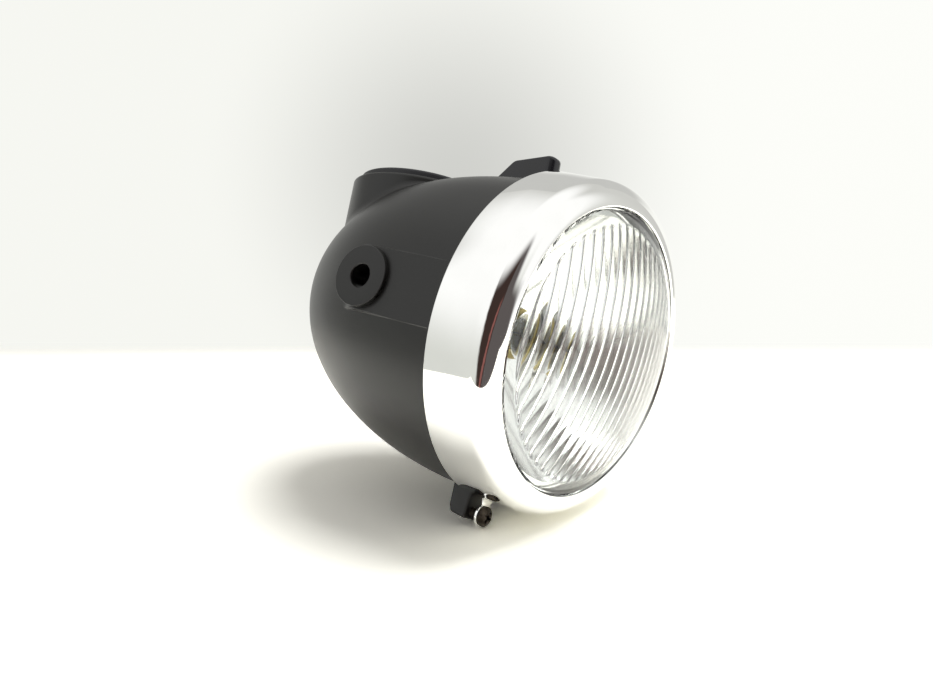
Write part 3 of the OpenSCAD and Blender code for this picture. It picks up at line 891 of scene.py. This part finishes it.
# Wound wires made by a geometry tree: the spring behind the insulator and the thread of the rim's screw

def windTree(name, sides, stepsPerTurn):  # adds a helix round Y to the piece it runs on
    inputs = {label: "Float" for label in ("Turns", "Radius", "Wire", "Length", "Foot", "Up")}
    tree, net, given = newTree(name, inputs)
    path = net.add("GeometryNodeCurveSpiral", {}, {
        "Resolution": stepsPerTurn, "Rotations": given["Turns"], "Start Radius": given["Radius"],
        "End Radius": given["Radius"], "Height": given["Length"], "Reverse": True})
    ring = net.add("GeometryNodeCurvePrimitiveCircle", {"mode": "RADIUS"},
                   {"Resolution": sides, "Radius": given["Wire"]})
    wire = net.add("GeometryNodeCurveToMesh", {}, {"Curve": path, "Profile Curve": ring, "Fill Caps": True})
    foot = net.add("ShaderNodeCombineXYZ", {}, {"Y": given["Foot"], "Z": given["Up"]})
    placed = net.add("GeometryNodeTransform", {}, {
        "Geometry": wire, "Translation": foot, "Rotation": (math.radians(-90), 0.0, 0.0)})
    closeTree(net, given, net.add("GeometryNodeJoinGeometry", {}, {0: [given["Geometry"], placed]}))
    return tree


coil = {
    "Turns": 4.0,
    "Radius": 8.3 * mm,
    "Wire": 0.5 * mm,
    "Length": 7.6 * mm,
    "Foot": -10.25 * mm,
    "Up": 0.0,
}
spring = addObject("holderCoil", [], [])
grow(spring, windTree("springWire", 14, 48), dict(coil, Material=finishes["steel"]))
finishPiece(shadeSmooth(tidyMesh(spring), 50), "lamp", "steel", ["holder_spring"])

screw = {
    "head": 4.0 * mm,
    "tall": 2.2 * mm,
    "dome": 5.6 * mm,
    "domeSink": 0.6 * mm,
    "neck": 2.0 * mm,
    "neckTall": 1.0 * mm,
    "core": 1.62 * mm,
    "under": -43.3 * mm,       # the head's seat on the rim's tab
    "end": -33.0 * mm,
    "slotWide": 1.1 * mm,
    "slotLong": 4.8 * mm,
    "slotDeep": 1.3 * mm,
    "slotTurn": 20.0,
    "edge": 0.08 * mm,
}
thread = {
    "Turns": 12.0,
    "Radius": 1.7 * mm,
    "Wire": 0.28 * mm,
    "Length": 8.4 * mm,
    "Foot": -41.9 * mm,
    "Up": housing["screwDown"],
}


def makeScrew():
    under, end, core, neck = screw["under"], screw["end"], screw["core"], screw["neck"]
    front, centre = under - screw["tall"], screw["dome"] - screw["domeSink"]
    flat = math.degrees(math.asin(centre / screw["dome"]))
    edge = math.degrees(math.acos(screw["head"] / screw["dome"]))
    place = moved(0, 0, housing["screwDown"]) @ alongY
    profile = [(0.0, front)] + arc((0.0, front + centre), screw["dome"], -flat, -edge, 10)
    profile += [(screw["head"], under - 0.2 * mm), (screw["head"] - 0.2 * mm, under), (neck, under)]
    profile += [(neck, under + screw["neckTall"]), (core, under + screw["neckTall"] + 0.2 * mm)]
    profile += [(core, end - 0.5 * mm), (core - 0.5 * mm, end), (0.0, end)]
    made = lathe("panScrew", profile, place, evenTurns(72))
    long, wide = screw["slotLong"] / 2, screw["slotWide"] / 2
    outline = arc((long - wide, 0), wide, -90, 90, 8) + arc((wide - long, 0), wide, 90, 270, 8)
    for turn in (0, 90):
        facing = place @ turned(turn + screw["slotTurn"], "Z")
        combine(made, prism("slot", outline, front - mm, front + screw["slotDeep"], facing), "DIFFERENCE")
    soften(made, screw["edge"], 2, 40.0)
    grow(made, windTree("threadRidge", 6, 28), dict(thread, Material=finishes["darkSteel"]))
    return shadeSmooth(made, 40)


finishPiece(makeScrew(), "lamp", "darkSteel", ["rim_screw"])


# Knob: pointer with a half-round nose, a flat top that falls to the rear and a ramp down to its tail

knob = {
    "nose": -9.3 * mm,
    "tail": 20.2 * mm,
    "half": 3.75 * mm,
    "taper": 0.68 * mm,
    "low": 0.5 * mm,
    "top": 12.2 * mm,
    "topFrom": -6.9 * mm,      # where the flat top begins behind the nose
    "kneeBack": 10.3 * mm,     # where the ramp begins
    "kneeUp": 10.3 * mm,
    "kneeSoft": 1.1 * mm,
    "noseRound": 2.8 * mm,
    "sideRound": 0.75 * mm,
    "shaft": 2.5 * mm,
    "shaftFlat": 1.5 * mm,
    "shaftTop": 5.0 * mm,
}


def knobTop(y):
    past, soft = y - knob["kneeBack"], knob["kneeSoft"]    # the top falls a little, then the ramp falls fast
    flat = (knob["kneeUp"] - knob["top"]) / (knob["kneeBack"] - knob["topFrom"])
    ramp = (knob["low"] - knob["kneeUp"]) / (knob["tail"] - knob["kneeBack"])
    return knob["kneeUp"] + flat * past + (ramp - flat) * softPart(past, soft)


def makeKnob():
    half, low = knob["half"], knob["low"]
    hub = knob["nose"] + half
    length = knob["tail"] - hub
    roundNose, straight, overEdge = 16, 60, 8     # steps along the outline and over the rounded edge
    edge = []                                     # x, y and the outward direction
    for i in range(roundNose + 1):
        angle = math.pi / 2 * i / roundNose
        outX, outY = math.sin(angle), math.cos(angle)
        edge.append((half * outX, hub - half * outY, outX, outY))
    for i in range(1, straight + 1):
        share = i / straight
        edge.append((half - knob["taper"] * share, hub + length * share, 1.0, 0.0))

    def loop(turn):  # one closed ring, from the foot of the wall over the rounded edge to the flat top
        ring = []
        for x, y, outX, outY in edge:
            room = knobTop(y) - low
            soft = min(knob["sideRound"] + (knob["noseRound"] - knob["sideRound"]) * outY ** 1.5, 0.4 * room)
            inset = 0.0 if turn is None else soft * (1 - math.cos(turn))
            spotX, spotY = x - outX * inset, y + outY * inset
            level = low if turn is None else max(knobTop(spotY) - soft * (1 - math.sin(turn)), low)
            ring.append((spotX, spotY, level))
        return ring + [(-x, y, z) for x, y, z in reversed(ring[1:])]

    loops = [loop(None)] + [loop(math.pi / 2 * i / overEdge) for i in range(overEdge + 1)]
    count, last = len(loops[0]), len(edge) - 1
    points = [switchPlace @ Vector(spot) for ring in loops for spot in ring]
    faces = []
    for k in range(len(loops) - 1):
        for i in range(count):
            j = (i + 1) % count
            faces.append((k * count + i, k * count + j, k * count + j + count, k * count + i + count))
    for first in (0, (len(loops) - 1) * count):
        faces.append((first, first + 1, first + count - 1))
        for i in range(1, last):
            faces.append((first + i, first + i + 1, first + count - i - 1, first + count - i))
    made = tidyMesh(addObject("pointerKnob", points, faces))
    flat = math.degrees(math.asin(knob["shaftFlat"] / knob["shaft"]))
    outline = arc((0, 0), knob["shaft"], 180 - flat, 360 + flat, 40)
    combine(made, prism("bore", outline, -mm, knob["shaftTop"], switchPlace), "DIFFERENCE")
    return shadeSmooth(made, 30)


finishPiece(makeKnob(), "switch", "knob", ["switch_knob"])


# CAD nodes that keep their own shape and get a finish

plain = {
    "rubber": ["lens_gasket"],
    "bulbGlass": ["bulb_glass"],
    "filament": ["bulb_filament"],
    "fibre": ["holder_insulator", "switch_cover"],
    "switch": ["switch_body", "switch_rotor"],
    "steel": ["bulb_holder", "switch_screw_1", "switch_screw_2"],
    "brass": ["bulb_base", "holder_contact_1", "holder_contact_2", "switch_bridge"],
}
plain["brass"] += ["switch_terminal_%d" % n for n in (1, 2, 3)]
for finish, nodes in plain.items():
    for piece in [frame["nodes"][node] for node in nodes]:
        if not len(piece.material_slots):
            piece.data.materials.append(None)
        for slot in piece.material_slots:
            slot.link = "OBJECT"
            slot.material = finishes[finish]
print("finishes given to", sum(len(nodes) for nodes in plain.values()), "nodes")


# Camera at the photo's angle

camera = {
    "place": (-0.41489, -0.32543, -0.04333),
    "right": (0.5592, -0.7687, 0.3106),
    "up": (-0.2344, 0.2128, 0.9486),
    "back": (-0.7952, -0.6032, -0.0612),
    "lens": 50.16,
    "tilt": 14.9,          # how far the camera looks down on the table, in degrees
}
camRight, camUp, camBack = [Vector(camera[name]).normalized() for name in ("right", "up", "back")]
eye = bpy.data.cameras.new("photoCamera")
eye.lens = camera["lens"]
eye.sensor_width = 36.0
eye.clip_start, eye.clip_end = 0.01, 50.0
eyeObject = bpy.data.objects.new("photoCamera", eye)
scene.collection.objects.link(eyeObject)
eyeObject.matrix_world = Matrix.Translation(Vector(camera["place"])) @ Matrix(
    [[camRight[i], camUp[i], camBack[i]] for i in range(3)]).to_4x4()
scene.camera = eyeObject


# Table and wall: the lamp lies rolled over on the table, so both stand askew in the lamp's frame

stage = {
    "near": -0.28,         # table edge nearest the camera
    "wallAway": 0.2,
    "bend": 0.008,
    "tall": 0.34,
    "left": -0.31,
    "right": 0.36,
    "tableShade": (0.82, 0.81, 0.79, 1),
    "tableSeen": (1.6, 1.58, 1.47, 1),    # what the camera and the chrome see, still shaded by the lamp
    "wallShade": (0.8, 0.8, 0.77, 1),
    "wallLeft": (0.925, 0.93, 0.885, 1),
    "wallRight": (0.98, 0.985, 0.945, 1),
    "wallTurn": (-0.05, 0.2),             # sideways stretch in which the left shade becomes the right one
    "wallHigh": (0.56, 0.56, 0.54, 1),    # above the picture, where only the chrome sees the wall
    "highFrom": (0.11, 0.2),
    "shadowShade": (0.03, 0.03, 0.03, 1),
    "shadowSide": 0.0,                    # painted soft shadow of the lamp on the wall: its middle, reach and depth
    "shadowUp": 0.1,
    "shadowReach": 0.145,
    "shadowDeep": 0.33,
}
tilt = math.radians(camera["tilt"])
worldUp = (camUp * math.cos(tilt) + camBack * math.sin(tilt)).normalized()
away = (camUp * math.sin(tilt) - camBack * math.cos(tilt)).normalized()
lowest = min(v.co.dot(worldUp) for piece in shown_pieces() for v in piece.data.vertices) - 0.2 * mm


def alongAxis(net, vector, direction):
    inputs = {0: vector, 1: tuple(direction)}
    return net.add("ShaderNodeVectorMath", {"operation": "DOT_PRODUCT"}, inputs, out="Value")


def rayKinds(net):  # 1 for the camera's own rays, and 1 for those and all mirrored or refracted ones
    direct = net.add("ShaderNodeLightPath", out="Is Camera Ray")
    kinds = net.last.outputs
    mirrored, refracted = Wire(net, kinds["Is Glossy Ray"]), Wire(net, kinds["Is Transmission Ray"])
    return direct, net.maths("MINIMUM", direct + mirrored + refracted, 1.0)


def makeBackdrop():
    material, net, where = newMaterial("paleSweep")
    direct, seen = rayKinds(net)
    tall = alongAxis(net, where, worldUp) - lowest
    side = alongAxis(net, where, camRight)
    table = mixColor(net, seen, stage["tableShade"], stage["tableSeen"])
    shown = mixColor(net, steps(net, side, *stage["wallTurn"]), stage["wallLeft"], stage["wallRight"])
    # painted shadow: the wall's colour seen by the camera darkens round one spot, standing in for the lamp's
    # shadow
    reach = net.maths("SQRT", (side - stage["shadowSide"]) ** 2.0 + (tall - stage["shadowUp"]) ** 2.0)
    shadow = steps(net, reach, 0.0, stage["shadowReach"], stage["shadowDeep"], 0.0)
    shown = mixColor(net, direct * shadow, shown, stage["shadowShade"])
    shown = mixColor(net, (1 - direct) * steps(net, tall, *stage["highFrom"]), shown, stage["wallHigh"])
    matt = net.add("ShaderNodeBsdfDiffuse", {}, {"Color": table})
    plainWall = net.add("ShaderNodeBsdfDiffuse", {}, {"Color": stage["wallShade"]})
    glow = net.add("ShaderNodeEmission", {}, {"Color": shown, "Strength": 1.0})
    wall = net.add("ShaderNodeMixShader", {}, {0: seen, 1: plainWall, 2: glow})
    front = net.add("ShaderNodeMixShader", {}, {0: steps(net, tall, 0.0, stage["bend"]), 1: matt, 2: wall})
    hidden = net.add("ShaderNodeBsdfTransparent")
    behind = net.add("ShaderNodeNewGeometry", out="Backfacing")
    closeMaterial(net, net.add("ShaderNodeMixShader", {}, {0: behind, 1: front, 2: hidden}))

    bend = stage["bend"]
    outline = [(stage["near"], 0.0)] + arc((stage["wallAway"] - bend, bend), bend, -90, 0, 12)
    outline.append((stage["wallAway"], stage["tall"]))
    points = [camRight * side + away * far + worldUp * (lowest + tall)
              for far, tall in outline for side in (stage["left"], stage["right"])]
    faces = [(2 * i, 2 * i + 1, 2 * i + 3, 2 * i + 2) for i in range(len(outline) - 1)]
    made = shadeSmooth(addObject("sweep", points, faces), 60)
    made.data.materials.append(material)
    made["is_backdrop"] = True


makeBackdrop()


# Studio: pale surroundings with the dim room behind the camera, and one soft lamp above.
# Bearings are degrees to the right of the camera's side, heights are the sines of their angles.

studio = {
    "white": (1.0, 1.0, 0.99, 1),
    "horizon": (0.68, 0.69, 0.65, 1),   # low part of the pale side of the room
    "horizonTop": (-0.1, 0.55),
    "behind": (0.6, 0.6, 0.575, 1),     # beyond the wall
    "behindTop": (0.6, 0.86),
    "behindTurn": (95, 118),
    "windowLeft": (64, 76),
    "windowRight": (96, 110),
    "strength": 1.03,
    "soft": 0.58,                       # strength for rays that only light matt surfaces
    "dim": (0.045, 0.028, 0.024, 1),
    "far": (0.105, 0.092, 0.09, 1),     # right part of the dim room
    "roomLeft": (-37, -27),
    "roomRight": (46, 58),
    "roomTop": (0.62, 0.88),
    "slide": 34,                        # how many degrees further right it ends near the floor
    "slideTop": (-0.25, 0.3),
    "strip": (0.26, 0.1, 0.088, 1),     # red upright strip in it
    "stripHalf": 6,
    "stripSoft": 4,
    "stripSlant": 45,                   # degrees that it leans over from level to overhead
    "stripTop": (0.3, 0.45),
    "farSoft": 5,
    "ragScale": 14.0,
    "ragWide": 9,
    "lampPower": 8.5,
    "lampSize": 0.7,
    "lampUp": 0.85,
    "lampRight": 0.33,
    "lampBack": 0.1,
}


def makeWorld():
    world = bpy.data.worlds.new("studio")
    world.use_nodes = True
    scene.world = world
    net = Net(world.node_tree)
    heading = net.add("ShaderNodeTexCoord", out="Generated")
    rise = alongAxis(net, heading, worldUp)
    turn = net.maths("ARCTAN2", alongAxis(net, heading, camRight), alongAxis(net, heading, -away))
    bearing = turn * math.degrees(1)

    def after(value, name):
        return steps(net, value, *studio[name])

    def before(value, name):
        return steps(net, value, *studio[name], 1.0, 0.0)

    shade = mixColor(net, after(rise, "horizonTop"), studio["horizon"], studio["white"])
    rear = mixColor(net, after(rise, "behindTop"), studio["behind"], studio["white"])
    shade = mixColor(net, after(net.maths("ABSOLUTE", bearing), "behindTurn"), shade, rear)
    window = after(bearing, "windowLeft") * before(bearing, "windowRight")
    shade = mixColor(net, window, shade, studio["white"])

    ragged = bearing + (noise(net, heading, studio["ragScale"], 2.0) - 0.5) * studio["ragWide"]
    slide = steps(net, rise, *studio["slideTop"], studio["slide"], 0.0)
    room = after(ragged, "roomLeft") * before(bearing - slide, "roomRight") * before(rise, "roomTop")
    slanted = ragged - rise * studio["stripSlant"]
    half = studio["stripHalf"]
    dark = mixColor(net, steps(net, slanted, half, half + studio["farSoft"]), studio["dim"], studio["far"])
    beside = net.maths("ABSOLUTE", slanted)
    strip = steps(net, beside, half - studio["stripSoft"], half, 1.0, 0.0) * before(rise, "stripTop")
    shade = mixColor(net, room, shade, mixColor(net, strip, dark, studio["strip"]))

    direct, seen = rayKinds(net)
    background = net.add("ShaderNodeBackground", {}, {
        "Color": mixColor(net, direct, shade, studio["white"]),
        "Strength": studio["soft"] + seen * (studio["strength"] - studio["soft"])})
    net.add("ShaderNodeOutputWorld", {}, {"Surface": background})


def makeLamp():
    lamp = bpy.data.lights.new("softLamp", "AREA")
    lamp.shape = "DISK"
    lamp.size = studio["lampSize"]
    lamp.energy = studio["lampPower"]
    made = bpy.data.objects.new("softLamp", lamp)
    made.visible_glossy = False
    scene.collection.objects.link(made)
    place = worldUp * studio["lampUp"] + camRight * studio["lampRight"] + away * studio["lampBack"]
    made.matrix_world = Matrix.Translation(place) @ place.to_track_quat("Z", "Y").to_matrix().to_4x4()


makeWorld()
makeLamp()
print("studio made")

scene.view_settings.view_transform = "Standard"
print("scene ready")
